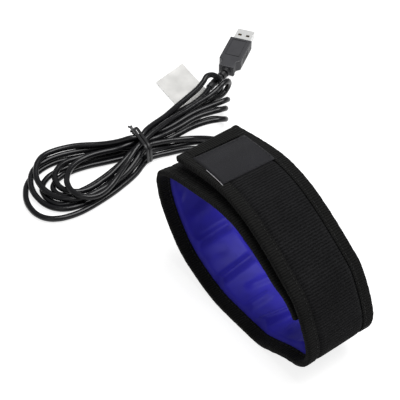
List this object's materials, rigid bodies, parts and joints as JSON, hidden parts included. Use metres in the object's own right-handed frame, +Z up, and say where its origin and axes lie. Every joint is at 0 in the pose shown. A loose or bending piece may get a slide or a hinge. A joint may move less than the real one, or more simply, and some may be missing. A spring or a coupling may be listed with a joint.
{
  "type": "telescope dew heater strip",
  "caption": "Closed fabric dew heater strip with blue lining, blank label and a tied hank of cable ending in a USB plug.",
  "frame": {"origin": "centre of the closed strip's footprint, on the floor that it stands on", "axes": "+X across the closed loop towards its rounded right side, +Y along the loop's axis away from the near rim, +Z up"},
  "size_m": [0.2638, 0.2208, 0.0895],
  "materials": {
    "shell_knit": "matte loop-pile knit",
    "foam": "matte foam",
    "wire": "satin",
    "lining": "satin nylon",
    "binding": "matte woven tape",
    "hook_tape": "matte hook tape",
    "label": "satin woven label",
    "cable": "satin",
    "tie": "satin",
    "tag": "satin film",
    "plug_body": "satin",
    "plug_metal": "bright",
    "plug_insulator": "satin",
    "contact": "bright"
  },
  "bodies": {
    "root": {"outer_shell": "shell_knit", "insulation_foam": "foam", "heating_wire": "wire", "supply_wire_1": "wire", "supply_wire_2": "wire", "inner_lining": "lining", "near_edge_binding": "binding", "far_edge_binding": "binding", "tab_end_binding": "binding", "inner_end_binding": "binding", "hook_patch": "hook_tape", "label_patch": "label", "cable_gland": "cable", "lead_to_band": "cable", "cable_hank": "cable", "lead_to_plug": "cable", "twist_tie": "tie", "cable_tag": "tag", "plug_strain_relief": "cable", "plug_overmould": "plug_body", "plug_shell": "plug_metal", "plug_tongue": "plug_insulator", "plug_contact_1": "contact", "plug_contact_2": "contact", "plug_contact_3": "contact", "plug_contact_4": "contact"}
  },
  "joints": []
}
